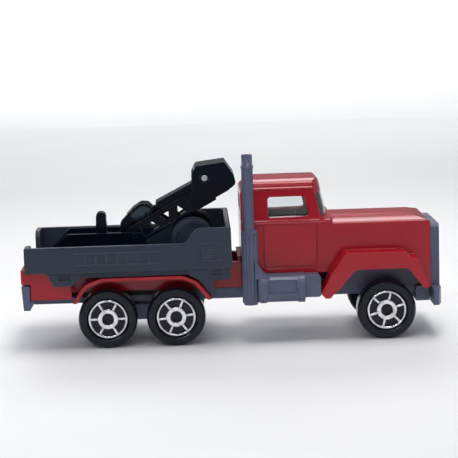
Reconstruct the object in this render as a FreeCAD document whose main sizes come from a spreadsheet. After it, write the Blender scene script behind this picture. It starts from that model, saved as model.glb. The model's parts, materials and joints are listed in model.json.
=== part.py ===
import FreeCAD, Part
import math
import os

# Toy tow truck, about 1:80. Millimetres, +X to the front of the truck, +Z up, wheels standing on Z = 0,
# Y = 0 on the truck's centre line. The truck's right-hand side is at -Y.

doc = FreeCAD.newDocument("tow_truck")
sheet = doc.addObject("Spreadsheet::Sheet", "sizes")

DRIVING_SIZES = [
    ("overall_length", 82.0),
    ("bed_width", 28.0),
    ("bed_wall", 0.9),
    ("bed_floor_low", 15.5),
    ("bed_floor_top", 16.2),
    ("bed_wall_top", 20.5),
    ("bed_front_top", 23.4),
    ("wheel_radius", 5.75),
    ("wheel_width", 4.0),
    ("wheel_face", 12.0),
    ("dish_radius", 3.85),
    ("dish_depth", 0.9),
    ("trim_depth", 0.7),
    ("trim_band", 0.46),
    ("hub_ring_radius", 2.0),
    ("hub_hole_radius", 1.1),
    ("spoke_width", 0.42),
    ("axle_radius", 0.6),
    ("axle_length", 21.0),
    ("axle_play", 0.05),
    ("rear_axle_x", -24.5),
    ("middle_axle_x", -11.2),
    ("front_axle_x", 30.0),
    ("cab_rear", 2.0),
    ("cab_width", 16.4),
    ("cab_wall", 1.0),
    ("cab_bottom", 13.0),
    ("sill_top", 23.6),
    ("roof_top", 31.55),
    ("bonnet_top", 23.7),
    ("bonnet_front", 39.2),
    ("wing_width", 25.0),
    ("arch_top", 14.0),
    ("frame_bottom", 10.4),
    ("frame_top", 15.4),
    ("mudguard_width", 26.4),
    ("mudguard_inner", 14.0),
    ("base_width", 13.6),
    ("base_low", 8.2),
    ("base_top", 10.3),
    ("stack_top", 37.0),
    ("stack_x", 3.4),
    ("stack_y", -10.9),
    ("tank_low", 7.9),
    ("tank_top", 13.2),
    ("tank_outer", 13.0),
    ("tank_inner", 8.35),
    ("arm_pivot_x", -18.9),
    ("arm_pivot_z", 20.9),
    ("arm_slope", 28.0),
    ("jib_pivot_x", -4.8),
    ("jib_pivot_z", 31.9),
    ("hook_pivot_x", -16.6),
    ("hook_pivot_z", 24.9),
    ("jib_width", 4.8),
    ("arm_inner", 5.0),
    ("arm_outer", 6.6),
    ("head_inner", 6.8),
    ("head_outer", 8.3),
    ("rail_inner", 7.4),
    ("rail_outer", 9.2),
    ("deck_top", 16.8),
    ("rail_top", 21.6),
    ("pin_radius", 0.45),
    ("rivet_radius", 0.58),
    ("pin_play", 0.04),
]

for row, (alias, size) in enumerate(DRIVING_SIZES, start=1):
    sheet.set(f"A{row}", alias)
    sheet.set(f"B{row}", str(size))
    sheet.setAlias(f"B{row}", alias)
doc.recompute()

ALIASES = {alias for alias, size in DRIVING_SIZES}
NODES = {}
THROUGH = 60.0        # longer than any cut that goes right through
RIGHT = -1            # the side at -Y
LEFT = 1


def size(alias):
    """A driving size, read from the sheet."""
    return float(sheet.get(alias))


def bind(feature, name, amount):
    """Set a size from a number or from a formula in the sheet's aliases, such as "cab_width / 2"."""
    if isinstance(amount, str):
        formula = amount
        for alias in sorted(ALIASES, key=len, reverse=True):
            formula = formula.replace(alias, f"<<{alias}>>")
        feature.setExpression(name, formula.replace("<<", "sizes.").replace(">>", ""))
    else:
        setattr(feature, name, amount)


def new_body(label):
    """A sub-part: its label names its file."""
    body = doc.addObject("PartDesign::Body", label)
    body.Label = label
    body.AllowCompound = True
    NODES[label] = body
    return body


def origin_plane(body, role):
    return next(item for item in body.Origin.OriginFeatures if item.Role == role)


def corner_arc(before, corner, after, radius):
    """The two tangent points and the middle point of the arc that rounds a corner off."""
    here = FreeCAD.Vector(corner[0], corner[1], 0)
    back = (FreeCAD.Vector(before[0], before[1], 0) - here).normalize()
    on = (FreeCAD.Vector(after[0], after[1], 0) - here).normalize()
    half_angle = back.getAngle(on) / 2
    reach = radius / math.tan(half_angle)
    inward = (back + on).normalize()
    centre = here + inward * (radius / math.sin(half_angle))
    return here + back * reach, centre - inward * radius, here + on * reach


def draw_outline(sketch, corners):
    """Add a closed outline. A corner is (a, b), or (a, b, radius) where it is rounded off."""
    stations = []
    for index, corner in enumerate(corners):
        if len(corner) == 2:
            stations.append([FreeCAD.Vector(corner[0], corner[1], 0)])
        else:
            before = corners[index - 1]
            after = corners[(index + 1) % len(corners)]
            stations.append(list(corner_arc(before, corner, after, corner[2])))
    for index, station in enumerate(stations):
        if len(station) == 3:
            sketch.addGeometry(Part.Arc(*station))
        start = station[-1]
        end = stations[(index + 1) % len(stations)][0]
        if start.distanceToPoint(end) > 1e-6:
            sketch.addGeometry(Part.LineSegment(start, end))


def draw_circle(sketch, centre_a, centre_b, radius):
    axis = FreeCAD.Vector(0, 0, 1)
    sketch.addGeometry(Part.Circle(FreeCAD.Vector(centre_a, centre_b, 0), axis, radius))


def new_sketch(body, role, offset=0.0, turn=0.0):
    """A sketch on an origin plane of its own body. XZ_Plane looks along +Y, so a positive offset there
    is towards -Y. turn tilts the sketch about its own vertical axis."""
    sketch = body.newObject("Sketcher::SketchObject", f"{body.Label}_sketch")
    sketch.AttachmentSupport = [(origin_plane(body, role), "")]
    sketch.MapMode = "FlatFace"
    tilt = FreeCAD.Rotation(FreeCAD.Vector(0, 1, 0), turn)
    sketch.AttachmentOffset = FreeCAD.Placement(FreeCAD.Vector(0, 0, offset), tilt)
    return sketch


def extrude(body, kind, sketch, length, both_ways=False, backwards=False):
    feature = body.newObject(f"PartDesign::{kind}", f"{body.Label}_{kind.lower()}")
    feature.Profile = sketch
    feature.SideType = "Symmetric" if both_ways else "One side"
    feature.Reversed = backwards
    bind(feature, "Length", length)
    sketch.Visibility = False
    body.Tip = feature
    return feature


def slab(body, role, corners, length, offset=0.0, both_ways=False, backwards=False):
    """Add material: an outline pulled straight out of an origin plane."""
    sketch = new_sketch(body, role, offset)
    draw_outline(sketch, corners)
    return extrude(body, "Pad", sketch, length, both_ways, backwards)


def side_slab(body, corners, width):
    """Add material on both sides of the centre plane, from a side-view outline."""
    return slab(body, "XZ_Plane", corners, width, both_ways=True)


def cut(body, role, corners, length, offset=0.0, both_ways=False, backwards=False):
    """Take material away. A pocket runs against its sketch's normal unless it is backwards."""
    sketch = new_sketch(body, role, offset)
    draw_outline(sketch, corners)
    return extrude(body, "Pocket", sketch, length, both_ways, backwards)


def side_cut(body, corners, width=THROUGH):
    return cut(body, "XZ_Plane", corners, width, both_ways=True)


def side_bore(body, x, z, radius, width=THROUGH):
    """A round hole along Y, on both sides of the centre plane."""
    sketch = new_sketch(body, "XZ_Plane")
    draw_circle(sketch, x, z, radius)
    return extrude(body, "Pocket", sketch, width, both_ways=True)


def post(body, x, y, radius, low, high):
    """A round post along Z."""
    sketch = new_sketch(body, "XY_Plane", low)
    draw_circle(sketch, x, y, radius)
    return extrude(body, "Pad", sketch, high - low)


def hole(body, x, y, radius, low, high):
    """A round hole along Z."""
    sketch = new_sketch(body, "XY_Plane", low)
    draw_circle(sketch, x, y, radius)
    return extrude(body, "Pocket", sketch, high - low, backwards=True)


def box(low_a, low_b, high_a, high_b):
    return [(low_a, low_b), (high_a, low_b), (high_a, high_b), (low_a, high_b)]


def each_side(draw, body, *details):
    """Draw a detail on the right side and the same one on the left side."""
    for side in (RIGHT, LEFT):
        draw(body, side, *details)


def flank(body, side, corners, start, depth, kind="Pad"):
    """Add or cut, on one side only, a side-view outline from |Y| = start outwards to start + depth."""
    offset = start if side == RIGHT else -start
    sketch = new_sketch(body, "XZ_Plane", offset)
    draw_outline(sketch, corners)
    outwards = side == RIGHT
    if kind == "Pad":
        return extrude(body, kind, sketch, depth, backwards=not outwards)
    return extrude(body, kind, sketch, depth, backwards=outwards)


# ---------------------------------------------------------------- cab, bonnet, wings and frame

WING_OUTER = [(19.6, 9.3, 0.5), (19.0, 8.5, 0.5), (18.0, 8.5, 0.5), (17.2, 9.4, 0.5), (19.2, 13.3, 4.0),
              (22.0, 17.3, 1.2), (34.0, 17.3, 0.9), (35.0, 16.1, 0.4), (36.2, 16.1, 0.4), (36.8, 13.8, 2.0),
              (38.7, 10.4, 0.4), (37.4, 9.8, 0.4)]
WING_ARCH = [(34.2, 14.0, 0.9), (24.0, 14.0, 1.2), (20.6, 10.1, 2.0)]
MUDGUARD_TOP = [(-31.1, 9.3), (-28.8, 12.9, 3.0), (-25.4, 14.1, 3.0), (-9.6, 14.1, 3.0), (-6.9, 12.9, 2.0),
                (-4.1, 9.4)]
MUDGUARD_THICKNESS = 0.65


BOW_RADIUS = 16.5
BOW_INNER_REACH = 5.5


def cab_side_outline(inset):
    """Side view of cab and bonnet. inset moves every wall in by that much, for the hollow inside."""
    rear = size("cab_rear") + inset
    roof = size("roof_top") - inset
    bonnet = size("bonnet_top") - inset
    front = size("bonnet_front") - inset
    bottom = size("cab_bottom") - 3 * inset
    return [(rear, bottom + 1.3), (rear, 29.2 - inset, 1.2), (rear + 2.6, roof, 2.0), (16.95 - inset, roof, 2.0),
            (18.85 - inset, roof - 1.95, 0.6), (18.6 - inset, roof - 2.9), (18.9 - inset, roof - 4.0),
            (19.9 - inset, bonnet, 0.5), (35.6, bonnet - 0.1, 4.0), (front, bonnet - 1.0 - inset, 0.7),
            (front, 9.7 - 3 * inset), (37.6, 9.7 - 3 * inset), (34.2, size("arch_top") - 3 * inset),
            (24.0, size("arch_top") - 3 * inset), (22.8, bottom), (6.8, bottom), (5.5, bottom + 1.3)]


def shape_cab(cab):
    """Solid cab and bonnet: sides lean in above the door sill, the windscreen bows forward."""
    side_slab(cab, cab_side_outline(0.0), "cab_width")
    half = size("cab_width") / 2
    sill = size("sill_top")
    roof = size("roof_top")
    front = size("bonnet_front") + 1
    rear = size("cab_rear") - 1
    windscreen_foot = 19.4
    for side in (RIGHT, LEFT):
        lean = [(side * (half + 1), sill - 0.2), (side * half, sill - 0.2), (side * (half - 0.3), sill),
                (side * (half - 0.78), 29.35), (side * (half - 0.5), 29.55), (side * (half - 0.5), 29.85),
                (side * (half - 0.75), 30.05), (side * (half - 0.95), 31.05, 1.1),
                (side * (half - 3.6), 31.4, 9.0), (0, roof), (0, roof + 1), (side * (half + 1), roof + 1)]
        cut(cab, "YZ_Plane", lean, 19.6 - rear, offset=19.6)
        crown = [(side * (half + 1), 22.6), (side * half, 22.6), (side * (half - 0.25), 22.9),
                 (side * (half - 1.9), 23.25), (side * (half - 2.1), 23.4), (side * (half - 5.0), 23.6),
                 (side * (half - 5.2), 23.7), (0, 23.75), (0, 25), (side * (half + 1), 25)]
        cut(cab, "YZ_Plane", crown, front - windscreen_foot - 0.6, offset=front)


def bow_sketch(body, back, bow_radius, clear):
    """A plan-view outline on a plane that leans back with the windscreen: its curved side is the bow,
    set back from the glass line by the given amount, and clear is how far the outline runs from it."""
    rake = -13.5
    foot_x = 19.55 - back
    foot_z = 23.75
    tilt = math.radians(rake)
    plane_x = foot_x * math.cos(tilt) - foot_z * math.sin(tilt)
    plane_z = foot_x * math.sin(tilt) + foot_z * math.cos(tilt)
    sketch = new_sketch(body, "XY_Plane", 0.0, rake)
    sketch.AttachmentOffset = FreeCAD.Placement(
        FreeCAD.Vector(plane_z * math.sin(tilt), 0, plane_z * math.cos(tilt)),
        FreeCAD.Rotation(FreeCAD.Vector(0, 1, 0), rake))
    reach = size("cab_width") / 2 + 1 if clear > 0 else BOW_INNER_REACH
    edge_x = plane_x - bow_radius + math.sqrt(bow_radius ** 2 - reach ** 2)
    right = FreeCAD.Vector(edge_x, -reach, 0)
    left = FreeCAD.Vector(edge_x, reach, 0)
    far_left = FreeCAD.Vector(plane_x + clear, reach, 0)
    far_right = FreeCAD.Vector(plane_x + clear, -reach, 0)
    sketch.addGeometry(Part.Arc(right, FreeCAD.Vector(plane_x, 0, 0), left))
    sketch.addGeometry(Part.LineSegment(left, far_left))
    sketch.addGeometry(Part.LineSegment(far_left, far_right))
    sketch.addGeometry(Part.LineSegment(far_right, right))
    return sketch


def bow_front(body, back):
    """Trim a body's front to the bowed, leaning surface of the windscreen."""
    sketch = bow_sketch(body, back, BOW_RADIUS - back, 8.0)
    extrude(body, "Pocket", sketch, 9.0, backwards=True)


def hollow_cab(cab):
    """Open the casting from below: one hollow under cab and bonnet, one up inside the cab."""
    wall = size("cab_wall")
    half = size("cab_width") / 2
    low = [(3.0, 4.0), (3.0, 22.6), (38.0, 22.6), (38.0, 4.0)]
    side_cut(cab, low, 2 * (half - wall))
    high = [(3.0, 20.0), (3.0, 28.8, 1.0), (5.2, 30.9, 1.0), (16.0, 30.9, 1.0), (16.9, 28.9), (17.4, 23.0),
            (17.4, 20.0)]
    side_cut(cab, high, 2 * (half - wall - 1.0))


def cut_windows(cab):
    side_cut(cab, [(7.4, 24.05, 0.5), (15.5, 24.2, 0.5), (14.6, 28.15, 0.6), (7.4, 28.15, 0.6)])
    screen = [(-7.15, 23.95, 0.6), (7.15, 23.95, 0.6), (7.0, 28.7, 0.6), (-7.0, 28.7, 0.6)]
    cut(cab, "YZ_Plane", screen, 8.0, offset=21.0)
    rear_window = [(-4.4, 25.2, 0.6), (4.4, 25.2, 0.6), (4.4, 28.2, 0.6), (-4.4, 28.2, 0.6)]
    cut(cab, "YZ_Plane", rear_window, 3.0, offset=4.0)


def door_lines(cab, side):
    """The gap round a door, and the sill bead under the window."""
    gap = 0.2
    face = size("cab_width") / 2
    offset = face - 0.16 if side == RIGHT else -(face - 0.16)
    sketch = new_sketch(cab, "XZ_Plane", offset)
    draw_outline(sketch, [(6.25, 14.2, 1.1), (16.95, 14.2, 1.1), (16.95, 22.95), (6.25, 22.95)])
    draw_outline(sketch, [(6.25 + gap, 14.2 + gap, 0.9), (16.95 - gap, 14.2 + gap, 0.9), (16.95 - gap, 22.9),
                          (6.25 + gap, 22.9)])
    extrude(cab, "Pocket", sketch, 1.0, backwards=side == RIGHT)
    flank(cab, side, [(4.6, 22.8), (19.2, 22.8), (19.2, 23.1), (4.6, 23.1)], face - 0.2, 0.36)


def front_wing(cab, side):
    inner = size("cab_width") / 2 - 0.6
    flank(cab, side, WING_OUTER + WING_ARCH, inner, size("wing_width") / 2 - inner)


def rear_frame(cab):
    """Frame rails, tail beam and corner panels behind the cab."""
    low = size("frame_bottom")
    top = size("frame_top")
    rail_inner = 5.6
    for side in (RIGHT, LEFT):
        flank(cab, side, box(-39.2, low, 3.4, top), rail_inner, size("mudguard_inner") / 2 - rail_inner)
        corner = [(-39.2, 10.0), (-31.3, 10.0), (-31.3, 12.7), (-34.6, 12.7), (-36.2, 15.4), (-39.2, 15.4)]
        flank(cab, side, corner, 11.1, 0.9)
    slab(cab, "YZ_Plane", box(-12.0, 10.0, 12.0, top), 1.2, offset=-39.2)
    slab(cab, "YZ_Plane", box(-5.7, low, 5.7, top), 1.6, offset=-7.6)
    slab(cab, "YZ_Plane", box(-5.7, 13.4, 5.7, 16.4), 2.2, offset=1.2)
    slab(cab, "YZ_Plane", [(-12.0, 13.2), (12.0, 13.2), (12.0, 15.2), (-12.0, 15.2)], 1.9, offset=-41.0)
    slab(cab, "YZ_Plane", [(-12.0, 13.2), (12.0, 13.2), (12.0, 15.9), (-12.0, 15.9)], 0.8, offset=-41.0)


def mudguard(cab, side):
    """A thin arched sheet over the two rear wheels of one side."""
    thickness = MUDGUARD_THICKNESS
    under = [(-30.3, 9.3), (-28.3, 12.3, 2.4), (-25.3, 14.1 - thickness, 2.4), (-9.7, 14.1 - thickness, 2.4),
             (-7.3, 12.4, 1.6), (-4.9, 9.2)]
    inner = size("mudguard_inner") / 2 - 0.2
    flank(cab, side, MUDGUARD_TOP + under[::-1], inner, size("mudguard_width") / 2 - inner)


def build_cab_casting():
    cab = new_body("cab_casting")
    shape_cab(cab)
    bow_front(cab, 0.0)
    each_side(front_wing, cab)
    hollow_cab(cab)
    cut_windows(cab)
    each_side(door_lines, cab)
    rear_frame(cab)
    each_side(mudguard, cab)


# ---------------------------------------------------------------- cab inside and glazing

def build_window_glazing():
    """Clear insert: bowed windscreen pane, two side panes and a rear pane under one roof sheet."""
    glazing = new_body("window_glazing")
    half = size("cab_width") / 2 - 2.1
    side_slab(glazing, [(15.7, 24.15), (20.5, 24.15), (20.5, 28.35), (15.7, 28.35)], 13.7)
    side_slab(glazing, [(3.4, 23.9), (3.4, 28.6, 1.0), (5.4, 30.3, 1.0), (15.6, 30.3, 1.0), (16.5, 28.5),
                        (17.1, 23.9)], 2 * half)
    bow_front(glazing, 0.15)
    side_cut(glazing, [(4.0, 23.0), (4.0, 28.3, 0.8), (5.7, 29.8, 0.8), (15.2, 29.8, 0.8), (15.8, 28.4),
                       (16.4, 23.0)], 2 * BOW_INNER_REACH)
    pane = 0.9
    inner = bow_sketch(glazing, pane, BOW_RADIUS + 2.0, -4.0)
    extrude(glazing, "Pocket", inner, 4.0, backwards=True)


def build_cab_interior():
    """Bench seat and dashboard in one dark moulding."""
    interior = new_body("cab_interior")
    width = size("cab_width") - 4 * size("cab_wall") - 0.2
    side_slab(interior, [(3.5, 15.2), (16.9, 15.2), (16.9, 21.6, 0.6), (14.2, 21.9, 0.6), (13.6, 18.4, 0.6),
                         (12.4, 16.6), (10.6, 16.6), (10.6, 19.0, 0.7), (6.2, 19.4, 0.6), (5.2, 23.4, 0.6),
                         (3.5, 23.4, 0.4)], width)
    for side in (RIGHT, LEFT):
        flank(interior, side, box(3.5, 15.2, 16.9, 23.8), width / 2 - 0.6, 0.6)


def build_steering_wheel():
    """A small rimmed disc with its column, leaning towards the seat."""
    wheel = new_body("steering_wheel")
    tilt = 30.0
    sketch = new_sketch(wheel, "YZ_Plane", 0.0)
    lean = FreeCAD.Rotation(FreeCAD.Vector(1, 0, 0), tilt)
    sketch.AttachmentOffset = FreeCAD.Placement(FreeCAD.Vector(3.2, 22.6, 12.6), lean)
    draw_circle(sketch, 0, 0, 1.5)
    draw_circle(sketch, 0, 0, 1.15)
    extrude(wheel, "Pad", sketch, 0.35)
    spokes = new_sketch(wheel, "YZ_Plane", 0.0)
    spokes.AttachmentOffset = FreeCAD.Placement(FreeCAD.Vector(3.2, 22.6, 12.6), lean)
    draw_outline(spokes, box(-1.3, -0.17, 1.3, 0.17))
    extrude(wheel, "Pad", spokes, 0.3)
    column = new_sketch(wheel, "YZ_Plane", 0.0)
    column.AttachmentOffset = FreeCAD.Placement(FreeCAD.Vector(3.2, 22.6, 12.6), lean)
    draw_circle(column, 0, 0, 0.35)
    extrude(wheel, "Pad", column, 1.6)


# ---------------------------------------------------------------- grey lower parts

def tank_section(side, proud):
    """End view of the fuel tank: a rounded box; proud grows it outwards for the straps."""
    low = size("tank_low") - proud
    top = size("tank_top") + proud / 2
    inner = size("tank_inner")
    outer = size("tank_outer") - 0.15 + proud
    return [(side * inner, low), (side * outer, low, 2.2), (side * outer, top, 1.7), (side * inner, top)]


def tank_and_battery(unit, side):
    """Fuel tank with two straps and a sunk panel, and a battery box ahead of it."""
    inner = size("tank_inner")
    outer = size("tank_outer")
    tank_start = 5.0
    tank_end = 14.1
    slab(unit, "YZ_Plane", tank_section(side, 0.0), tank_end - tank_start, offset=tank_start)
    for start, width in ((5.3, 1.3), (12.8, 1.2)):
        slab(unit, "YZ_Plane", tank_section(side, 0.15), width, offset=start)
    flank(unit, side, [(7.0, 9.8, 0.6), (12.5, 9.8, 0.6), (12.5, 12.5, 0.6), (7.0, 12.5, 0.6)],
          outer - 0.65, 1.0, "Pocket")
    flank(unit, side, [(14.0, 8.9, 0.2), (17.15, 8.9, 0.5), (17.15, 13.1, 0.5), (14.0, 13.1, 0.2)],
          inner, outer - 0.7 - inner)
    for x in (15.0, 16.4):
        flank(unit, side, [(x - 0.3, 12.1, 0.15), (x + 0.3, 12.1, 0.15), (x + 0.3, 12.7, 0.15),
                           (x - 0.3, 12.7, 0.15)], outer - 0.8, 0.35)


def exhaust_stack(unit, side):
    """Silencer with flutes, pipe, collar and a slotted mouth. It stands beside the cab's rear corner."""
    x = size("stack_x")
    y = abs(size("stack_y")) * side
    silencer_top = 22.3
    collar_low = 34.4
    collar_high = 34.9
    flutes = 16
    fluted = []
    for index in range(2 * flutes):
        angle = math.pi * index / flutes
        reach = 1.42 if index % 2 else 1.62
        fluted.append((x + 0.1 + reach * math.cos(angle), y + reach * math.sin(angle)))
    slab(unit, "XY_Plane", fluted, silencer_top - 0.4 - 8.0, offset=8.0)
    post(unit, x + 0.1, y, 1.35, 7.6, silencer_top)
    post(unit, x, y, 1.12, silencer_top, collar_low)
    post(unit, x, y, 1.22, collar_low, collar_high)
    post(unit, x, y, 1.05, collar_high, size("stack_top"))
    cut(unit, "XZ_Plane", [(x - 0.6, 35.0, 0.2), (x + 0.6, 35.0, 0.2), (x + 0.6, 36.5, 0.2),
                           (x - 0.6, 36.5, 0.2)], 0.5, offset=-y - 0.7, backwards=True)
    hole(unit, x, y, 0.7, 35.6, size("stack_top") + 0.5)
    flank(unit, side, [(4.4, 12.8), (4.4, 16.4), (5.1, 15.3, 1.0), (6.0, 13.9, 1.0), (7.2, 13.0), (7.2, 12.6)],
          9.3, 3.2)


def build_side_units():
    right = new_body("side_unit_right")
    tank_and_battery(right, RIGHT)
    exhaust_stack(right, RIGHT)
    left = new_body("side_unit_left")
    tank_and_battery(left, LEFT)


def build_grille_bumper():
    """Radiator grille with bars in a frame, headlamps in its lower corners, and the bumper below."""
    grille = new_body("grille_bumper")
    front = size("overall_length") / 2
    back = 39.25
    frame = [(-7.9, 10.2), (7.9, 10.2), (7.9, 21.2, 0.6), (7.3, 21.9, 0.4), (-7.3, 21.9, 0.4), (-7.9, 21.2, 0.6)]
    slab(grille, "YZ_Plane", frame, front - 0.05 - back, offset=back)
    cut(grille, "YZ_Plane", box(-6.9, 14.4, 6.9, 21.0), 0.8, offset=front)
    bars = 7
    bar_pitch = 0.9
    for index in range(bars):
        low = 14.75 + index * bar_pitch
        slab(grille, "YZ_Plane", box(-6.95, low, 6.95, low + 0.4), 0.6, offset=40.15)
    for side in (RIGHT, LEFT):
        lens = new_sketch(grille, "YZ_Plane", front)
        draw_circle(lens, side * 5.8, 12.2, 1.35)
        extrude(grille, "Pocket", lens, 0.5)
        lamp = new_sketch(grille, "YZ_Plane", 40.3)
        draw_circle(lamp, side * 5.8, 12.2, 1.1)
        extrude(grille, "Pad", lamp, 0.5)
    bumper = [(39.2, -12.0, 0.2), (40.2, -12.0, 0.5), (front, -9.6, 1.5), (front, 9.6, 1.5), (40.2, 12.0, 0.5),
              (39.2, 12.0, 0.2)]
    slab(grille, "XY_Plane", bumper, 3.2, offset=6.4)
    slab(grille, "YZ_Plane", box(-7.9, 9.0, 7.9, 10.6), front - 0.05 - 39.25, offset=39.25)
    cut(grille, "YZ_Plane", [(-4.0, 7.3, 0.3), (4.0, 7.3, 0.3), (4.0, 8.6, 0.3), (-4.0, 8.6, 0.3)], 0.3,
        offset=front)


RIVET_STATIONS = (-33.0, 21.5)


def build_base_plate():
    """Floor pan with a flat underside, tray walls under the bonnet, front axle cheeks and rear bumper."""
    base = new_body("base_plate")
    half = size("base_width") / 2
    low = size("base_low")
    top = size("base_top")
    axle_x = size("front_axle_x")
    axle_z = size("wheel_radius")
    slab(base, "XY_Plane", box(-39.0, -half, 38.0, half), 1.2, offset=low)
    for side in (RIGHT, LEFT):
        flank(base, side, [(19.0, 9.0), (38.0, 9.0), (38.0, 13.6), (19.0, 13.6)], half - 0.8, 0.8)
        flank(base, side, [(-6.0, 9.0), (2.4, 9.0), (2.4, top), (-5.2, top)], half - 0.8, 0.8)
        flank(base, side, [(axle_x - 2.2, 4.6, 0.8), (axle_x + 2.2, 4.6, 0.8), (axle_x + 3.0, low + 0.4),
                           (axle_x - 3.0, low + 0.4)], half - 1.6, 1.6)
    slab(base, "XY_Plane", box(36.3, -7.8, 38.9, 7.8), 3.0, offset=6.6)
    slab(base, "XY_Plane", box(19.0, -half, 19.8, half), 4.6, offset=9.0)
    bumper = [(-41.0, 12.8), (-39.4, 12.8), (-39.4, 8.0), (-40.7, 8.0)]
    side_slab(base, bumper, 24.0)
    for side in (RIGHT, LEFT):
        flank(base, side, [(-39.5, 8.2), (-38.3, 9.8), (-39.5, 9.8)], 10.9, 1.0)
    side_slab(base, [(-39.6, low), (-37.0, low), (-37.0, low + 1.2), (-39.6, 9.8)], 13.0)
    side_bore(base, axle_x, axle_z, size("axle_radius") + size("axle_play"))
    for x in RIVET_STATIONS:
        hole(base, x, 0.0, 0.75, low - 0.5, top + 1.0)


def build_rear_axle_carrier():
    """A block under the frame that holds both rear axles, with two feet up to the base plate."""
    carrier = new_body("rear_axle_carrier")
    rear = size("rear_axle_x")
    middle = size("middle_axle_x")
    axle_z = size("wheel_radius")
    side_slab(carrier, [(rear - 2.4, 4.4, 0.8), (middle + 2.4, 4.4, 0.8), (middle + 2.4, 7.4, 0.8),
                        (rear - 2.4, 7.4, 0.8)], 12.6)
    for x in (rear, middle):
        slab(carrier, "XY_Plane", box(x - 1.6, -5.0, x + 1.6, 5.0), 1.2, offset=7.0)
        side_bore(carrier, x, axle_z, size("axle_radius") + size("axle_play"))


# ---------------------------------------------------------------- bed

BRACKET_RIVETS = (-34.4, -29.6)


def bed_wall_outline():
    """Side view of a bed wall: low at the back, a soft step up to the front."""
    low = size("bed_floor_low")
    wall = size("bed_wall_top")
    front = size("bed_front_top")
    return [(-40.0, low, 0.3), (0.0, low, 0.3), (-0.1, front, 0.4), (-6.9, front, 2.2), (-8.9, wall, 1.2),
            (-40.0, wall, 0.3)]


def bed_relief(bed, side):
    """Raised ladder and louvre panel on the outside of a wall."""
    face = size("bed_width") / 2
    root = face - 0.2
    height = 0.36
    for z in (16.8, 19.1):
        flank(bed, side, box(-30.4, z, -14.2, z + 0.2), root, height)
    rungs = 7
    for index in range(rungs):
        x = -28.4 + 2.03 * index
        flank(bed, side, box(x, 16.9, x + 0.2, 19.2), root, height - 0.04)
    frame_low = 17.0
    frame_high = 20.6
    for x in (-6.3, -2.4):
        flank(bed, side, box(x, frame_low, x + 0.22, frame_high), root, height)
    for z in (frame_low, frame_high - 0.2):
        flank(bed, side, box(-6.3, z, -2.2, z + 0.22), root, height)
    slats = 5
    for index in range(slats):
        z = 17.55 + 0.5 * index
        flank(bed, side, box(-5.1, z, -2.8, z + 0.2), root, height - 0.06)
    for x in (-5.85, -5.5):
        flank(bed, side, box(x, 17.6, x + 0.16, 19.7), root, height - 0.06)


def bed_skirt(bed, side):
    """Skirt under the floor: two flush panels with a sunk window each, joined by a recessed strip."""
    inner = 12.3
    flank(bed, side, [(-36.1, 15.6), (-34.5, 12.8, 0.2), (-31.1, 12.8, 0.2), (-29.1, 14.9), (-28.7, 15.6)],
          inner, 1.1)
    flank(bed, side, [(-29.4, 15.6), (-29.4, 14.3), (-7.9, 14.3), (-7.9, 15.6)], inner, 0.6)
    flank(bed, side, [(-8.4, 15.6), (-8.4, 14.2), (-6.6, 13.3), (-3.8, 10.0), (-2.9, 10.7, 0.2),
                      (-4.4, 13.1, 0.8), (-0.4, 13.2), (-0.4, 15.6)], inner, 1.1)
    flank(bed, side, box(-33.6, 14.0, -31.2, 15.1), inner + 0.7, 1.0, "Pocket")
    flank(bed, side, box(-4.0, 14.1, -1.8, 15.2), inner + 0.7, 1.0, "Pocket")


def winch_drum(bed, side):
    """A moulded cable drum on the bed floor, axis along Y: two flanges, wound cable, a sunk end face."""
    x = -7.5
    z = 20.3
    flange = 4.1
    turns = 4
    pitch = 0.65
    rings = [(4.9, 0.5, flange), (5.4, turns * pitch, 3.3), (8.0, 0.5, flange)]
    rings += [(5.5 + index * pitch, 0.42, 3.62) for index in range(turns)]
    for start, depth, radius in rings:
        sketch = new_sketch(bed, "XZ_Plane", start if side == RIGHT else -start)
        draw_circle(sketch, x, z, radius)
        extrude(bed, "Pad", sketch, depth, backwards=side == LEFT)
    flank(bed, side, box(x - 1.6, 16.0, x + 1.6, 18.0), 4.9, 3.6)
    for face, outwards in ((8.15, True), (5.25, False)):
        sunk = new_sketch(bed, "XZ_Plane", face if side == RIGHT else -face)
        draw_circle(sunk, x, z, 3.3)
        draw_circle(sunk, x, z, 1.3)
        extrude(bed, "Pocket", sunk, 0.6, backwards=outwards == (side == RIGHT))


def rear_corner(bed, side):
    """The bed wall's short return at the open tail, with its inner top corner rounded."""
    half = size("bed_width") / 2
    top = size("bed_wall_top")
    slab(bed, "YZ_Plane", [(side * (half - 0.2), size("bed_floor_low") + 0.2), (side * (half - 0.2), top),
                           (side * 8.6, top, 1.6), (side * 8.6, size("bed_floor_low") + 0.2)], 0.9, offset=-39.95)


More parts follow.
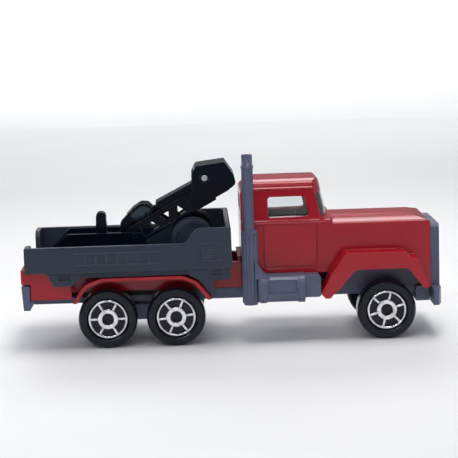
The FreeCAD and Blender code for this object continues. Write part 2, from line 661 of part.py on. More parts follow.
def build_bed_tub():
    bed = new_body("bed_tub")
    wall = size("bed_wall")
    half = size("bed_width") / 2
    floor = size("bed_floor_top")
    side_slab(bed, bed_wall_outline(), "bed_width")
    hollow = [(-41.0, floor), (-1.1, floor), (-1.1, 25.0), (-41.0, 25.0)]
    side_cut(bed, hollow, 2 * (half - wall))
    doc.recompute()
    inner_corner = 1.4
    for side in (RIGHT, LEFT):
        y = side * (half - wall)
        back = -1.1
        sketch = new_sketch(bed, "XY_Plane", floor - 0.1)
        corner = FreeCAD.Vector(back + 0.1, y + side * 0.1, 0)
        along = FreeCAD.Vector(back - inner_corner, y + side * 0.1, 0)
        across = FreeCAD.Vector(back + 0.1, y - side * inner_corner, 0)
        bend = inner_corner * (1 - math.sqrt(0.5))
        middle = FreeCAD.Vector(back - bend, y - side * bend, 0)
        sketch.addGeometry(Part.LineSegment(across, corner))
        sketch.addGeometry(Part.LineSegment(corner, along))
        sketch.addGeometry(Part.Arc(along, middle, across))
        extrude(bed, "Pad", sketch, size("bed_front_top") - floor)
    each_side(bed_relief, bed)
    each_side(bed_skirt, bed)
    each_side(winch_drum, bed)
    each_side(rear_corner, bed)
    for x in BRACKET_RIVETS:
        hole(bed, x, 0.0, 0.75, size("bed_floor_low") - 0.5, floor + 0.5)


# ---------------------------------------------------------------- crane

def build_crane_bracket():
    """A channel on the bed floor: a deck with two rails, and a cross bar the arm comes down on."""
    bracket = new_body("crane_bracket")
    floor = size("bed_floor_top")
    deck = size("deck_top")
    top = size("rail_top")
    rear = -36.8
    front = -16.5
    side_slab(bracket, [(rear, floor), (front, floor), (front, deck), (rear, deck)], "rail_outer")
    rail_start = size("rail_inner") / 2
    rail_depth = (size("rail_outer") - size("rail_inner")) / 2
    for side in (RIGHT, LEFT):
        flank(bracket, side, [(rear, floor), (front, floor), (front, top, 2.0),
                              (-32.4, top, 0.5), (rear, deck + 0.4)], rail_start, rail_depth)
    side_slab(bracket, box(front - 0.6, deck - 0.2, front, 19.2), "rail_inner")
    side_bore(bracket, size("arm_pivot_x"), size("arm_pivot_z"), size("pin_radius"))
    for x in BRACKET_RIVETS:
        hole(bracket, x, 0.0, 0.75, floor - 0.5, deck + 0.5)


def arm_point(along, up, radius=None):
    """A point of the arm: along is measured up the arm from its pivot, up square to that."""
    slope = math.radians(size("arm_slope"))
    x = size("arm_pivot_x") + along * math.cos(slope) - up * math.sin(slope)
    z = size("arm_pivot_z") + along * math.sin(slope) + up * math.cos(slope)
    return (x, z) if radius is None else (x, z, radius)


def build_crane_arm():
    """Two side plates with a truss of cut-outs, joined below by a web."""
    arm = new_body("crane_arm")
    depth = 1.9
    end = 17.5
    plates = [arm_point(-1.9, -depth, 1.8), arm_point(end, -depth, 0.2), arm_point(19.1, 3.1, 1.3),
              arm_point(17.4, 4.6, 1.1), arm_point(15.9, 3.1, 1.0), arm_point(14.4, depth, 0.5),
              arm_point(-1.9, depth, 1.8)]
    side_slab(arm, plates, "arm_outer")
    side_cut(arm, [arm_point(-4.0, -depth + 0.7), arm_point(22.0, -depth + 0.7), arm_point(22.0, 7.0),
                   arm_point(-4.0, 7.0)], "arm_inner")
    side_cut(arm, [arm_point(12.8, -depth - 1), arm_point(22.0, -depth - 1), arm_point(22.0, 0),
                   arm_point(12.8, 0)], "arm_inner")
    side_cut(arm, [arm_point(-4.0, -depth - 1), arm_point(2.4, -depth - 1), arm_point(2.4, 0),
                   arm_point(-4.0, 0)], "arm_inner")
    field = [arm_point(1.6, -1.3, 0.2), arm_point(12.3, -1.3, 0.2), arm_point(12.3, 1.25, 0.2),
             arm_point(1.6, 1.25, 0.2)]
    for side in (RIGHT, LEFT):
        flank(arm, side, field, size("arm_outer") / 2 - 0.15, 1.0, "Pocket")
    bays = 3
    pitch = 3.05
    half_base = 1.0
    for index in range(bays):
        middle = 4.05 + pitch * index
        base, tip = (0.85, -1.0) if index % 2 else (-1.0, 0.95)
        side_cut(arm, [arm_point(middle - half_base, base, 0.1), arm_point(middle + half_base, base, 0.1),
                       arm_point(middle, tip, 0.1)])
    side_bore(arm, size("arm_pivot_x"), size("arm_pivot_z"), size("pin_radius") + size("pin_play"))
    side_bore(arm, size("jib_pivot_x"), size("jib_pivot_z"), size("rivet_radius"))


def build_crane_jib():
    """Boom with its head: the boom lies in the arm, the head's cheeks stand outside it under a cap."""
    jib = new_body("crane_jib")
    head = [(-7.35, 27.7, 0.3), (-7.4, 32.6, 1.0), (-6.6, 34.3, 0.9), (-0.8, 35.0, 0.2), (1.0, 32.4, 0.9),
            (1.4, 30.6, 0.9), (-0.2, 29.3, 0.5), (-2.4, 28.1, 0.5), (-3.4, 27.7, 0.5)]
    cap_inner = [(-8.4, 26.0), (-8.4, 31.4), (-7.2, 33.3, 0.7), (-5.8, 33.75, 0.5), (-1.2, 34.3, 0.2),
                 (0.45, 32.0, 0.5), (0.7, 31.3), (3.0, 31.3), (3.0, 26.0)]
    side_slab(jib, head, "head_outer")
    side_cut(jib, cap_inner, "head_inner")
    slope = math.radians(27.0)
    along_x = math.cos(slope)
    along_z = math.sin(slope)
    top_x = -7.4
    top_z = 30.8

    def boom_point(along, up):
        return (top_x + along * along_x - up * along_z, top_z + along * along_z + up * along_x)

    boom = [boom_point(-8.2, 0.0), boom_point(1.4, 0.0), (-5.9, 33.9), (-3.6, 34.1), (-3.3, 31.2),
            boom_point(2.6, -2.2), boom_point(-8.2, -2.2)]
    side_slab(jib, boom, "jib_width")
    tip = [boom_point(-8.9, -0.8), boom_point(-7.0, -0.8), boom_point(-7.0, -2.1), boom_point(-8.9, -2.1)]
    side_slab(jib, tip, 1.6)
    hook_x = size("hook_pivot_x")
    hook_z = size("hook_pivot_z")
    lug = [(hook_x - 0.7, hook_z - 0.7, 0.6), boom_point(-7.0, -2.1), boom_point(-7.0, -0.9),
           (hook_x - 0.7, hook_z + 0.7, 0.6)]
    side_slab(jib, lug, 1.6)
    side_bore(jib, size("jib_pivot_x"), size("jib_pivot_z"), size("rivet_radius") + size("pin_play"))
    side_bore(jib, hook_x, hook_z, size("pin_radius") - 0.1)
    for side in (RIGHT, LEFT):
        face = size("head_outer") / 2
        offset = (face - 0.15) * (1 if side == RIGHT else -1)
        sketch = new_sketch(jib, "XZ_Plane", offset)
        draw_circle(sketch, size("jib_pivot_x"), size("jib_pivot_z"), 0.95)
        extrude(jib, "Pocket", sketch, 1.0, backwards=side == RIGHT)


def build_tow_hook():
    """Six-sided hook block with a sunk panel each side, and the hook below it."""
    hook = new_body("tow_hook")
    block = [(-20.8, 24.5, 0.3), (-19.3, 26.0, 0.4), (-17.6, 27.05, 0.4), (-16.2, 26.95, 0.5),
             (-15.0, 25.8, 0.5), (-16.0, 24.1, 0.4), (-19.3, 23.3, 0.3)]
    side_slab(hook, block, 4.4)
    side_cut(hook, [(-18.1, 22.0), (-14.0, 22.0), (-14.0, 28.0), (-18.1, 28.0)], 2.0)
    panel = [(-20.0, 24.6, 0.2), (-18.9, 25.75, 0.3), (-17.5, 26.6, 0.3), (-16.4, 26.5, 0.3),
             (-15.5, 25.75, 0.3), (-16.35, 24.55, 0.3), (-19.2, 23.8, 0.2)]
    for side in (RIGHT, LEFT):
        flank(hook, side, panel, 1.75, 1.0, "Pocket")
    curve = [(-20.3, 24.8), (-21.9, 23.2, 1.2), (-21.8, 20.95, 1.2), (-24.95, 20.95, 1.0), (-24.6, 22.6, 2.0),
             (-24.75, 25.35, 0.95), (-26.65, 25.35, 0.85), (-26.75, 23.2, 2.5), (-27.1, 19.7, 2.2),
             (-20.4, 19.7, 1.9), (-19.8, 22.0, 1.0), (-18.9, 23.4)]
    side_slab(hook, curve, 2.2)
    side_bore(hook, size("hook_pivot_x"), size("hook_pivot_z"), size("pin_radius") - 0.1 + size("pin_play"))


def rod(label, x, z, radius, length):
    """A round steel pin along Y."""
    pin = new_body(label)
    sketch = new_sketch(pin, "XZ_Plane")
    draw_circle(sketch, x, z, radius)
    extrude(pin, "Pad", sketch, length, both_ways=True)
    return pin


def build_pins():
    rod("arm_pin", size("arm_pivot_x"), size("arm_pivot_z"), size("pin_radius"), "rail_outer")
    rod("jib_rivet", size("jib_pivot_x"), size("jib_pivot_z"), size("rivet_radius"), "head_outer + 0.2")
    rod("hook_pin", size("hook_pivot_x"), size("hook_pivot_z"), size("pin_radius") - 0.1, 4.3)


def build_rivets():
    """Round rivets through base plate and bed: a head below or above, a shank in its hole."""
    base = new_body("base_rivets")
    for x in RIVET_STATIONS:
        post(base, x, 0.0, 0.7, size("base_low") - 0.1, size("base_low") + 1.6)
        post(base, x, 0.0, 1.3, size("base_low") - 0.5, size("base_low"))
    bracket = new_body("bracket_rivets")
    for x in BRACKET_RIVETS:
        post(bracket, x, 0.0, 0.7, size("bed_floor_low") - 0.1, size("deck_top") + 0.1)
        post(bracket, x, 0.0, 1.2, size("deck_top"), size("deck_top") + 0.5)


# ---------------------------------------------------------------- wheels

def revolve(body, sketch):
    """Turn a profile all the way about the sketch's upright axis."""
    feature = body.newObject("PartDesign::Revolution", f"{body.Label}_revolution")
    feature.Profile = sketch
    feature.ReferenceAxis = (sketch, ["V_Axis"])
    feature.Angle = 360.0
    body.Tip = feature
    return feature


def ring_profile(body, corners):
    """A profile in the XY plane: radius along X, Y as in the truck."""
    sketch = new_sketch(body, "XY_Plane")
    draw_outline(sketch, corners)
    return revolve(body, sketch)


def build_wheel(place, axle_x, side, turn):
    """One wheel of black plastic and the bright trim that stands in its dish."""
    name = "right" if side == RIGHT else "left"
    radius = size("wheel_radius")
    face = side * size("wheel_face")
    back = side * (size("wheel_face") - size("wheel_width"))
    dish = size("dish_radius")
    floor = side * (size("wheel_face") - size("dish_depth"))
    axle_end = side * (size("axle_length") / 2)
    bore = size("axle_radius") + 0.01
    wheel = new_body(f"wheel_{place}_{name}")
    ring_profile(wheel, [(0, axle_end), (0, floor - side * 0.35), (size("hub_hole_radius"), floor - side * 0.35),
                         (size("hub_hole_radius"), floor), (dish + 0.02, floor), (dish + 0.25, face - side * 0.15),
                         (dish + 0.5, face, 0.1), (radius - 0.35, face - side * 0.02, 0.3),
                         (radius, face - side * 0.6, 0.5), (radius, back + side * 0.6, 0.5),
                         (radius - 0.4, back, 0.3), (bore, back), (bore, axle_end)])
    wheel.Placement = FreeCAD.Placement(FreeCAD.Vector(axle_x, 0, radius), FreeCAD.Rotation())
    trim = new_body(f"trim_{place}_{name}")
    outer = dish - 0.02
    lip = floor + side * size("trim_depth")
    band = outer - size("trim_band")
    hub = size("hub_ring_radius")
    hub_hole = size("hub_hole_radius") + 0.02
    ring_profile(trim, [(band, floor), (outer, floor), (outer, lip, 0.18), (band, lip, 0.18)])
    ring_profile(trim, [(hub_hole, floor), (hub, floor), (hub, lip, 0.18), (hub_hole, lip, 0.18)])
    half_spoke = size("spoke_width") / 2
    spokes = 6
    for index in range(spokes):
        angle = math.radians(turn + 360 * index / spokes)
        along = FreeCAD.Vector(math.cos(angle), math.sin(angle), 0)
        across = FreeCAD.Vector(-along.y, along.x, 0) * half_spoke
        ends = [along * (hub - 0.2) - across, along * (band + 0.2) - across, along * (band + 0.2) + across,
                along * (hub - 0.2) + across]
        offset = abs(floor) if side == RIGHT else -abs(floor)
        sketch = new_sketch(trim, "XZ_Plane", offset)
        draw_outline(sketch, [(end.x, end.y) for end in ends])
        extrude(trim, "Pad", sketch, size("trim_depth") - 0.2, backwards=side == LEFT)
    trim.Placement = wheel.Placement


def build_wheels():
    stations = (("rear", "rear_axle_x", 0.0), ("middle", "middle_axle_x", 7.0), ("front", "front_axle_x", 17.0))
    for place, alias, turn in stations:
        axle = rod(f"axle_{place}", size(alias), size("wheel_radius"), size("axle_radius"), "axle_length")
        axle.Label = f"axle_{place}"
        for side in (RIGHT, LEFT):
            build_wheel(place, size(alias), side, turn)


def check_and_export():
    """Stop if anything failed; then write one STEP file for each sub-part."""
    doc.recompute()
    for item in doc.Objects:
        if "Invalid" in item.State or "Error" in item.State:
            raise RuntimeError(f"{item.Name} failed: {item.State}")
    for label, body in NODES.items():
        if body.Shape.isNull() or not body.Shape.isValid():
            raise RuntimeError(f"{label} has no valid shape")
    os.makedirs("parts", exist_ok=True)
    for label, body in NODES.items():
        body.Shape.exportStep(f"parts/{label}.step")
        bounds = body.Shape.BoundBox
        print(f"{label:20s} {len(body.Shape.Solids)} solids {body.Shape.Volume:9.2f} mm3"
              f"  X {bounds.XMin:7.2f} {bounds.XMax:7.2f}  Y {bounds.YMin:7.2f} {bounds.YMax:7.2f}"
              f"  Z {bounds.ZMin:7.2f} {bounds.ZMax:7.2f}")


build_cab_casting()
build_window_glazing()
build_cab_interior()
build_steering_wheel()
build_side_units()
build_grille_bumper()
build_base_plate()
build_rear_axle_carrier()
build_bed_tub()
build_crane_bracket()
build_crane_arm()
build_crane_jib()
build_tow_hook()
build_pins()
build_rivets()
build_wheels()
check_and_export()
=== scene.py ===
import json
import math

import bmesh
import bpy
from mathutils import Matrix, Vector


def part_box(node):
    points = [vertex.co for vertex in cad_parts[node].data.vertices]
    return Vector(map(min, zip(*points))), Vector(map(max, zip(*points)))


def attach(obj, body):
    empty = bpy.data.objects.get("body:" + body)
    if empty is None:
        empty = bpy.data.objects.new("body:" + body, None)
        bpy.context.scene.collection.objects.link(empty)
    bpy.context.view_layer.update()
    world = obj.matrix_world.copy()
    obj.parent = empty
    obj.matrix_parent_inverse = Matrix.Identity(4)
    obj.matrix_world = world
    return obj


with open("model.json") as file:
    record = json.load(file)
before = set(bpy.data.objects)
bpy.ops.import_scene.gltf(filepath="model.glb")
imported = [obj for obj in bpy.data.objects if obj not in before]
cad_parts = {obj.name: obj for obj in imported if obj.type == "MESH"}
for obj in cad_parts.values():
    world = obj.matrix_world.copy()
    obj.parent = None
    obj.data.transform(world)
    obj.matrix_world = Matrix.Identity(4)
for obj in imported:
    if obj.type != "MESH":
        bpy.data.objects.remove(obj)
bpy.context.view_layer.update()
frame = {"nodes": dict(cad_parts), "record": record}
nodes = frame["nodes"]
MM = 0.001


# ---------------------------------------------------------------- node trees

class Tree:
    """A material's node tree, with short ways to add and join nodes. Sizes are in millimetres."""

    # Most of a noise's values lie between these two.
    NOISE_LOW = 0.3
    NOISE_HIGH = 0.7

    def __init__(self, name):
        self.material = bpy.data.materials.new(name)
        self.material.use_nodes = True
        self.tree = self.material.node_tree
        self.shader = self.tree.nodes["Principled BSDF"]
        self.place = self.add("ShaderNodeTexCoord").outputs["Object"]

    def add(self, kind, **settings):
        """Add a node of this kind with these settings."""
        node = self.tree.nodes.new(kind)
        for key, value in settings.items():
            setattr(node, key, value)
        return node

    def link(self, source, target):
        self.tree.links.new(source, target)

    def put(self, target, value):
        """Set a socket to a number or colour, or join another socket to it."""
        if isinstance(value, bpy.types.NodeSocket):
            self.link(value, target)
        elif isinstance(value, (tuple, list)) and len(value) == 3 and target.type == "RGBA":
            target.default_value = (*value, 1.0)
        else:
            target.default_value = value

    def noise(self, per_mm, detail=2.0, rough=0.5, warp=0.0, stretch=(1, 1, 1)):
        """Noise from 0 to 1 with this many features in a millimetre."""
        mapping = self.add("ShaderNodeMapping")
        mapping.inputs["Scale"].default_value = stretch
        self.link(self.place, mapping.inputs["Vector"])
        node = self.add("ShaderNodeTexNoise")
        node.inputs["Scale"].default_value = per_mm / MM
        node.inputs["Detail"].default_value = detail
        node.inputs["Roughness"].default_value = rough
        node.inputs["Distortion"].default_value = warp
        self.link(mapping.outputs["Vector"], node.inputs["Vector"])
        return node.outputs["Fac"]

    def span(self, value, from_low, from_high, to_low, to_high):
        """Map a range of values to another, held at its ends."""
        node = self.add("ShaderNodeMapRange")
        self.put(node.inputs["Value"], value)
        for name, amount in (("From Min", from_low), ("From Max", from_high), ("To Min", to_low),
                             ("To Max", to_high)):
            node.inputs[name].default_value = amount
        return node.outputs["Result"]

    def vary(self, noise, lowest, highest):
        """Spread a noise over a range of values."""
        return self.span(noise, self.NOISE_LOW, self.NOISE_HIGH, lowest, highest)

    def patches(self, per_mm, detail, start, full, least=0.0, most=1.0):
        """Patches of noise: least where it is under start, most where it is over full."""
        return self.span(self.noise(per_mm, detail), start, full, least, most)

    def math(self, operation, a, b):
        node = self.add("ShaderNodeMath", operation=operation)
        self.put(node.inputs[0], a)
        self.put(node.inputs[1], b)
        return node.outputs["Value"]

    def mix(self, amount, first, second):
        """The first colour at 0, the second at 1."""
        node = self.add("ShaderNodeMix", data_type="RGBA")
        self.put(node.inputs["Factor"], amount)
        self.put(node.inputs["A"], first)
        self.put(node.inputs["B"], second)
        return node.outputs["Result"]

    def mottle(self, noise, first, second):
        """Two colours that drift into each other with a noise."""
        return self.mix(self.vary(noise, 0.0, 1.0), first, second)

    def soft_normal(self, radius_mm):
        """The surface's normal with its edges rounded over this radius."""
        bevel = self.add("ShaderNodeBevel", samples=4)
        bevel.inputs["Radius"].default_value = radius_mm * MM
        return bevel.outputs["Normal"]

    def edges(self, radius_mm):
        """1 on sharp edges, 0 on flats: how far a rounded normal turns from the real one."""
        dot = self.add("ShaderNodeVectorMath", operation="DOT_PRODUCT")
        self.link(self.soft_normal(radius_mm), dot.inputs[0])
        self.link(self.add("ShaderNodeNewGeometry").outputs["Normal"], dot.inputs[1])
        flat, sharp = 0.98, 0.80
        return self.span(dot.outputs["Value"], flat, sharp, 0.0, 1.0)

    def rubbed(self, patches):
        """How far each sharp edge is rubbed, in patches; on the bed and crane plastics the same mask also
        places painted edge highlights.
        """
        return self.math("MULTIPLY", self.edges(0.12), patches)

    def dust(self, per_mm, patches):
        """Small round specks, this many in a millimetre, in patches."""
        radius = 0.05
        cells = self.add("ShaderNodeTexVoronoi")
        cells.inputs["Scale"].default_value = per_mm / MM
        self.link(self.place, cells.inputs["Vector"])
        specks = self.span(cells.outputs["Distance"], radius, radius * 0.6, 0.0, 1.0)
        return self.math("MULTIPLY", specks, patches)

    def bump(self, height, depth_mm, strength, below=None):
        """Bumps of this height over the normal below."""
        node = self.add("ShaderNodeBump")
        node.inputs["Strength"].default_value = strength
        node.inputs["Distance"].default_value = depth_mm * MM
        self.put(node.inputs["Height"], height)
        if below is not None:
            self.link(below, node.inputs["Normal"])
        return node.outputs["Normal"]

    def set(self, **values):
        """Fill the shader's sockets, each named in lower case with underscores, and give the material."""
        for name, value in values.items():
            socket = name.replace("_", " ").title().replace("Ior", "IOR")
            self.put(self.shader.inputs[socket], value)
        return self.material


# ---------------------------------------------------------------- materials

def red_enamel():
    """Thick red enamel on a zinc casting: glossy with orange peel, thinner on the sharpest edges."""
    t = Tree("red_enamel")
    colour = t.mottle(t.noise(per_mm=0.12, detail=3.0), (0.37, 0.006, 0.016), (0.44, 0.009, 0.021))
    thin = t.rubbed(t.patches(per_mm=1.1, detail=4.0, start=0.55, full=0.75, most=0.55))
    colour = t.mix(thin, colour, (0.62, 0.07, 0.06))
    dust = t.dust(per_mm=0.9, patches=t.patches(per_mm=0.5, detail=1.0, start=0.52, full=0.56, most=0.35))
    colour = t.mix(dust, colour, (0.62, 0.42, 0.40))
    peel = t.bump(t.noise(per_mm=1.1), depth_mm=0.010, strength=0.30, below=t.soft_normal(0.16))
    grain = t.bump(t.noise(per_mm=2.5), depth_mm=0.003, strength=0.12, below=peel)
    rough = t.vary(t.noise(per_mm=0.35, detail=3.0), 0.14, 0.22)
    return t.set(base_color=colour, roughness=rough, normal=grain, coat_weight=0.25, coat_roughness=0.04,
                 coat_normal=peel, ior=1.48, specular_ior_level=0.30)


def moulded_plastic(name, dark, light, rough, edge_wear_and_highlight, rub_and_highlight=(0.15, 0.35), grain_mm=0.005, shine=0.35):
    """Satin injection-moulded plastic: fine spark-eroded grain, faint flow marks, paler rubbed edges, which
    on some plastics are strengthened into painted highlights.
    """
    t = Tree(name)
    flow = t.noise(per_mm=0.10, detail=4.0, rough=0.6, warp=0.8, stretch=(0.35, 1, 1))
    colour = t.mottle(flow, dark, light)
    least, most = rub_and_highlight
    # Paler edges: real rubbing, and where the edge colour and rub are strong, a painted highlight along the
    # edges too.
    rubbed = t.rubbed(t.patches(per_mm=0.8, detail=4.0, start=0.42, full=0.68, least=least, most=most))
    colour = t.mix(rubbed, colour, edge_wear_and_highlight)
    dust = t.dust(per_mm=1.1, patches=t.patches(per_mm=0.6, detail=1.0, start=0.53, full=0.57, most=0.30))
    colour = t.mix(dust, colour, (0.35, 0.34, 0.34))
    grain = t.bump(t.noise(per_mm=4.5, detail=3.0, rough=0.6), grain_mm, strength=0.5,
                   below=t.soft_normal(0.10))
    sink = t.bump(t.noise(per_mm=0.25), depth_mm=0.05, strength=0.18, below=grain)
    return t.set(base_color=colour, roughness=t.vary(t.noise(per_mm=0.5, detail=3.0), *rough), normal=sink,
                 ior=1.47, specular_ior_level=shine)


def hard_black_tyre():
    """Hard black plastic of the wheels: satin, faintly mottled, with scuffed edges."""
    t = Tree("wheel_black")
    colour = t.mottle(t.noise(per_mm=0.3, detail=3.0), (0.003, 0.005, 0.010), (0.006, 0.009, 0.016))
    scuffs = t.rubbed(t.patches(per_mm=1.4, detail=4.0, start=0.5, full=0.7, most=0.30))
    colour = t.mix(scuffs, colour, (0.12, 0.12, 0.13))
    rough = t.vary(t.noise(per_mm=0.8, detail=3.0), 0.16, 0.26)
    grain = t.noise(per_mm=3.5, detail=3.0)
    normal = t.bump(grain, depth_mm=0.0012, strength=0.4, below=t.soft_normal(0.16))
    return t.set(base_color=colour, roughness=rough, normal=normal, ior=1.5, specular_ior_level=0.30)


def bright_foil():
    """Hot-stamped bright foil on the wheel trims: mirror-like, faintly rippled, with dulled patches."""
    t = Tree("bright_foil")
    dull = t.patches(per_mm=1.2, detail=3.0, start=0.45, full=0.70)
    colour = t.mix(dull, (0.88, 0.87, 0.90), (0.58, 0.56, 0.59))
    rough = t.patches(per_mm=1.7, detail=3.0, start=0.35, full=0.70, least=0.05, most=0.20)
    normal = t.bump(t.noise(per_mm=1.8), depth_mm=0.014, strength=0.6, below=t.soft_normal(0.22))
    return t.set(base_color=colour, metallic=1.0, roughness=rough, normal=normal)


def drawn_steel():
    """Plain drawn steel of rivets and axles, with fine marks along Y."""
    t = Tree("drawn_steel")
    marks = t.noise(per_mm=3.0, detail=3.0, rough=0.6, stretch=(1, 0.15, 1))
    colour = t.mottle(marks, (0.48, 0.48, 0.50), (0.66, 0.66, 0.67))
    normal = t.bump(marks, depth_mm=0.004, strength=0.4, below=t.soft_normal(0.08))
    return t.set(base_color=colour, metallic=1.0, roughness=t.vary(marks, 0.20, 0.38), normal=normal)


def clear_glazing():
    """Clear moulded polystyrene, faintly rippled and rubbed."""
    t = Tree("clear_glazing")
    ripple = t.bump(t.noise(per_mm=0.35), depth_mm=0.02, strength=0.15)
    rough = t.patches(per_mm=0.9, detail=4.0, start=0.45, full=0.75, least=0.015, most=0.08)
    return t.set(base_color=(0.93, 0.96, 0.97), roughness=rough, normal=ripple, transmission_weight=0.97,
                 ior=1.45, specular_ior_level=0.30)


def painted_sheen_inlay():
    """The hook block's sunk panel: matt plastic coloured pale and bluish, a painted sheen of light caught
    in the recess.
    """
    t = Tree("block_panel")
    # Pale bluish colour: painted sheen of light in the hook block's recess, far lighter than the crane's
    # black.
    colour = t.mottle(t.noise(per_mm=0.9, detail=3.0), (0.030, 0.052, 0.078), (0.052, 0.080, 0.112))
    rough = t.vary(t.noise(per_mm=1.2, detail=3.0), 0.34, 0.48)
    grain = t.bump(t.noise(per_mm=5.0, detail=3.0), depth_mm=0.004, strength=0.5)
    return t.set(base_color=colour, roughness=rough, normal=grain)


def pale_card():
    """Matt white card of the sweep."""
    t = Tree("pale_card")
    colour = t.mix(t.noise(per_mm=0.02, detail=3.0), (0.80, 0.80, 0.81), (0.84, 0.84, 0.85))
    grain = t.bump(t.noise(per_mm=0.8, detail=3.0), depth_mm=0.02, strength=0.2)
    return t.set(base_color=colour, roughness=0.55, normal=grain)


FINISHES = {
    "red_paint": red_enamel(),
    "clear_plastic": clear_glazing(),
    "dark_plastic": moulded_plastic(
        "interior_black", dark=(0.006, 0.007, 0.011), light=(0.010, 0.011, 0.016), rough=(0.45, 0.60),
        edge_wear_and_highlight=(0.06, 0.06, 0.065)),
    "grey_plastic": moulded_plastic(
        "moulded_grey", dark=(0.094, 0.106, 0.172), light=(0.112, 0.126, 0.202), rough=(0.26, 0.38),
        edge_wear_and_highlight=(0.30, 0.31, 0.36)),
    # The bed's strong pale edges are mostly a painted highlight along its relief lines, with some real
    # wear.
    "bed_plastic": moulded_plastic(
        "bed_grey", dark=(0.028, 0.035, 0.058), light=(0.036, 0.044, 0.070), rough=(0.30, 0.42),
        edge_wear_and_highlight=(0.17, 0.20, 0.26), rub_and_highlight=(0.45, 0.9)),
    # The crane's pale bluish edges are mostly a painted reflection of the sky along its edges, with some
    # real wear.
    "crane_plastic": moulded_plastic(
        "crane_black", dark=(0.002, 0.004, 0.010), light=(0.004, 0.007, 0.016), rough=(0.10, 0.20),
        edge_wear_and_highlight=(0.16, 0.21, 0.29), rub_and_highlight=(0.35, 0.9), grain_mm=0.0015, shine=0.12),
    "wheel_plastic": hard_black_tyre(),
    "bright_trim": bright_foil(),
    "steel": drawn_steel(),
}


# ---------------------------------------------------------------- finishing the CAD pieces

def paint(piece, finish):
    piece.data.materials.clear()
    piece.data.materials.append(finish)


def soften(piece, width_mm):
    """Round a piece's edges off a little without touching its mesh."""
    weld = piece.modifiers.new("weld", "WELD")
    weld.merge_threshold = 1e-7
    flat = piece.modifiers.new("flat", "DECIMATE")
    flat.decimate_type = "DISSOLVE"
    flat.angle_limit = math.radians(1.5)
    bevel = piece.modifiers.new("bevel", "BEVEL")
    bevel.width = width_mm * MM
    bevel.segments = 2
    bevel.limit_method = "ANGLE"
    bevel.angle_limit = math.radians(32)
    bevel.harden_normals = False
    bevel.miter_outer = "MITER_ARC"
    weighted = piece.modifiers.new("weighted", "WEIGHTED_NORMAL")
    weighted.keep_sharp = True


# The bed isn't here: beside its louvre's fine ribs a bevel leaves a dark slit.
ROUNDED_EDGES_MM = {
    "cab_casting": 0.09,
    "grille_bumper": 0.12,
    "base_plate": 0.12,
    "side_unit_right": 0.10,
    "side_unit_left": 0.10,
    "rear_axle_carrier": 0.12,
    "crane_bracket": 0.12,
    "crane_arm": 0.10,
    "crane_jib": 0.14,
    "tow_hook": 0.14,
    "cab_interior": 0.12,
}
slot_of = {part["node"]: part["material_slot"] for part in frame["record"]["subparts"]}
for name, node in nodes.items():
    paint(node, FINISHES[slot_of[name]])
    if name in ROUNDED_EDGES_MM:
        soften(node, ROUNDED_EDGES_MM[name])


# ---------------------------------------------------------------- pieces made here

# Corners of a plate just inside the hook block's sunk panel, X and Z from the hook pin.
PANEL_OUTLINE_MM = [(-3.32, -0.28), (-2.28, 0.76), (-0.9, 1.6), (0.18, 1.5), (1.0, 0.83), (0.22, -0.26),
                    (-2.56, -1.0)]
PANEL_FLOOR = 1.74 * MM
PANEL_THICKNESS = 0.12 * MM
# Each ring of the crowned plate: its share of the outline's size, and its height in thicknesses.
PANEL_RINGS = ((1.0, 0.0), (1.0, 0.5), (0.93, 1.0), (0.45, 1.35))


def block_panel(name, side, finish):
    """A thin crowned plate in the hook block's sunk panel on one side, -1 right or 1 left."""
    pin_low, pin_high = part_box("hook_pin")
    pin_x = (pin_low[0] + pin_high[0]) / 2
    pin_z = (pin_low[2] + pin_high[2]) / 2
    count = len(PANEL_OUTLINE_MM)
    middle_x = sum(x for x, z in PANEL_OUTLINE_MM) / count
    middle_z = sum(z for x, z in PANEL_OUTLINE_MM) / count
    shape = bmesh.new()
    rows = []
    for share, height in PANEL_RINGS:
        out = PANEL_FLOOR + height * PANEL_THICKNESS
        rows.append([shape.verts.new((pin_x + (middle_x + (x - middle_x) * share) * MM, side * out,
                                      pin_z + (middle_z + (z - middle_z) * share) * MM))
                     for x, z in PANEL_OUTLINE_MM])
    for lower, upper in zip(rows, rows[1:]):
        for index in range(count):
            after = (index + 1) % count
            shape.faces.new((lower[index], lower[after], upper[after], upper[index]))
    shape.faces.new(rows[0][::-1])
    shape.faces.new(rows[-1])
    bmesh.ops.recalc_face_normals(shape, faces=shape.faces)
    mesh = bpy.data.meshes.new(name)
    shape.to_mesh(mesh)
    shape.free()
    panel = bpy.data.objects.new(name, mesh)
    bpy.context.scene.collection.objects.link(panel)
    paint(panel, finish)
    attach(panel, "hook")


# Two thin plates that carry a painted sheen in the hook block's sunk panels.
painted_sheen_finish = painted_sheen_inlay()
block_panel("block_panel_right", -1, painted_sheen_finish)
block_panel("block_panel_left", 1, painted_sheen_finish)


# ---------------------------------------------------------------- stage, light and camera

def sweep_band(name, profile, finish):
    """One band of the sweep: a profile in Y and Z drawn out along X."""
    half = 2.4
    shape = bmesh.new()
    rows = [[shape.verts.new((x, y, z)) for y, z in profile] for x in (-half, half)]
    for index in range(len(profile) - 1):
        shape.faces.new((rows[0][index], rows[1][index], rows[1][index + 1], rows[0][index + 1]))
    mesh = bpy.data.meshes.new(name)
    shape.to_mesh(mesh)
    shape.free()
    for face in mesh.polygons:
        face.use_smooth = True
    band = bpy.data.objects.new(name, mesh)
    bpy.context.scene.collection.objects.link(band)
    paint(band, finish)
    return band


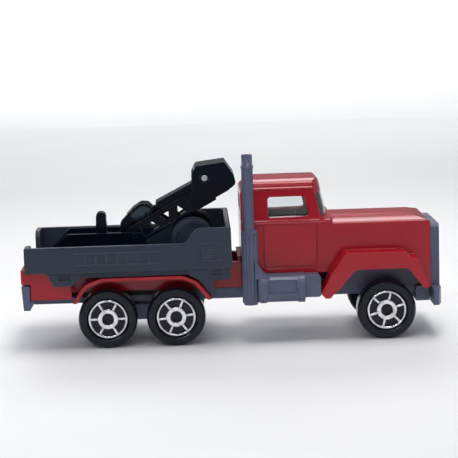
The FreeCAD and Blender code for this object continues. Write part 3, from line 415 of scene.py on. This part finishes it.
def floor_and_backdrop():
    """A pale seamless sweep under and behind the truck, whose wall glossy surfaces don't mirror."""
    card = pale_card()
    front, back, bend, top = -2.4, 0.50, 0.35, 1.3
    steps = 12
    wall = [(back, 0.0)]
    for step in range(1, steps + 1):
        angle = math.pi / 2 * step / steps
        wall.append((back + bend * math.sin(angle), bend * (1 - math.cos(angle))))
    wall.append((back + bend, top))
    sweep_band("floor", [(front, 0.0), (back, 0.0)], card)
    sweep_band("backdrop", wall, card).visible_glossy = False


def area_light(name, place, target, size, watts, spread, colour=(1, 1, 1)):
    """A rectangular lamp that faces its target. spread is the beam's angle in degrees, 180 unfocused."""
    data = bpy.data.lights.new(name, "AREA")
    data.shape = "RECTANGLE"
    data.size, data.size_y = size
    data.energy = watts
    data.color = colour
    data.spread = math.radians(spread)
    light = bpy.data.objects.new(name, data)
    light.location = place
    light.rotation_euler = (Vector(target) - Vector(place)).to_track_quat("-Z", "Y").to_euler()
    bpy.context.scene.collection.objects.link(light)


def lamps():
    """A focused key overhead, strips in front and behind, a weak fill at the nose, a wash on the wall."""
    middle = (0.0, 0.0, 0.015)
    area_light("key", place=(0.06, 0.02, 0.42), target=(0.0, 0.03, 0.0), size=(0.34, 0.16), watts=0.25,
               spread=75.0, colour=(1.0, 0.99, 0.97))
    area_light("front_strip", place=(-0.10, -0.42, 0.36), target=middle, size=(0.60, 0.02), watts=0.32,
               spread=120.0, colour=(0.93, 0.96, 1.0))
    area_light("back_rim", place=(-0.12, 0.42, 0.32), target=middle, size=(0.60, 0.20), watts=0.45,
               spread=110.0, colour=(0.97, 0.98, 1.0))
    area_light("end_fill", place=(0.50, -0.22, 0.18), target=middle, size=(0.20, 0.30), watts=0.06,
               spread=180.0)
    area_light("wall_wash", place=(0.0, 0.25, 0.55), target=(0.0, 0.80, 0.25), size=(0.90, 0.36), watts=3.7,
               spread=120.0)


def surroundings():
    """Soft cool light from all round, brighter from above than from the horizon."""
    horizon, sky = 0.20, 0.36
    sky_height = 0.8
    world = bpy.data.worlds.new("studio")
    world.use_nodes = True
    tree = world.node_tree
    place = tree.nodes.new("ShaderNodeTexCoord")
    parts = tree.nodes.new("ShaderNodeSeparateXYZ")
    tree.links.new(place.outputs["Generated"], parts.inputs["Vector"])
    level = tree.nodes.new("ShaderNodeMapRange")
    level.interpolation_type = "SMOOTHSTEP"
    for name, amount in (("From Min", 0.0), ("From Max", sky_height), ("To Min", horizon), ("To Max", sky)):
        level.inputs[name].default_value = amount
    tree.links.new(parts.outputs["Z"], level.inputs["Value"])
    background = tree.nodes["Background"]
    background.inputs["Color"].default_value = (0.88, 0.91, 0.96, 1.0)
    tree.links.new(level.outputs["Result"], background.inputs["Strength"])
    bpy.context.scene.world = world


def camera():
    """The viewpoint: 300 mm off the truck's side, 8.7 degrees up, 1.2 to the rear and tipped 1.7."""
    distance = 0.300
    azimuth = math.radians(-1.171)
    elevation = math.radians(8.712)
    roll = math.radians(1.727)
    aim = Vector((-0.453, -14.0, 23.104)) * MM
    back = Vector((math.sin(azimuth) * math.cos(elevation), -math.cos(azimuth) * math.cos(elevation),
                   math.sin(elevation)))
    right = Vector((math.cos(azimuth), math.sin(azimuth), 0.0))
    up = back.cross(right)
    across = right * math.cos(roll) - up * math.sin(roll)
    upward = right * math.sin(roll) + up * math.cos(roll)
    data = bpy.data.cameras.new("view")
    data.sensor_width = 36.0
    data.lens = 122.817
    data.clip_start = 0.01
    data.clip_end = 10.0
    view = bpy.data.objects.new("view", data)
    turn = Matrix((across, upward, back)).transposed().to_4x4()
    view.matrix_world = Matrix.Translation(aim + back * distance) @ turn
    bpy.context.scene.collection.objects.link(view)
    bpy.context.scene.camera = view


floor_and_backdrop()
lamps()
surroundings()
camera()
# The default transform would lift the crane's blacks and grey the pale floor.
bpy.context.scene.view_settings.view_transform = "Standard"
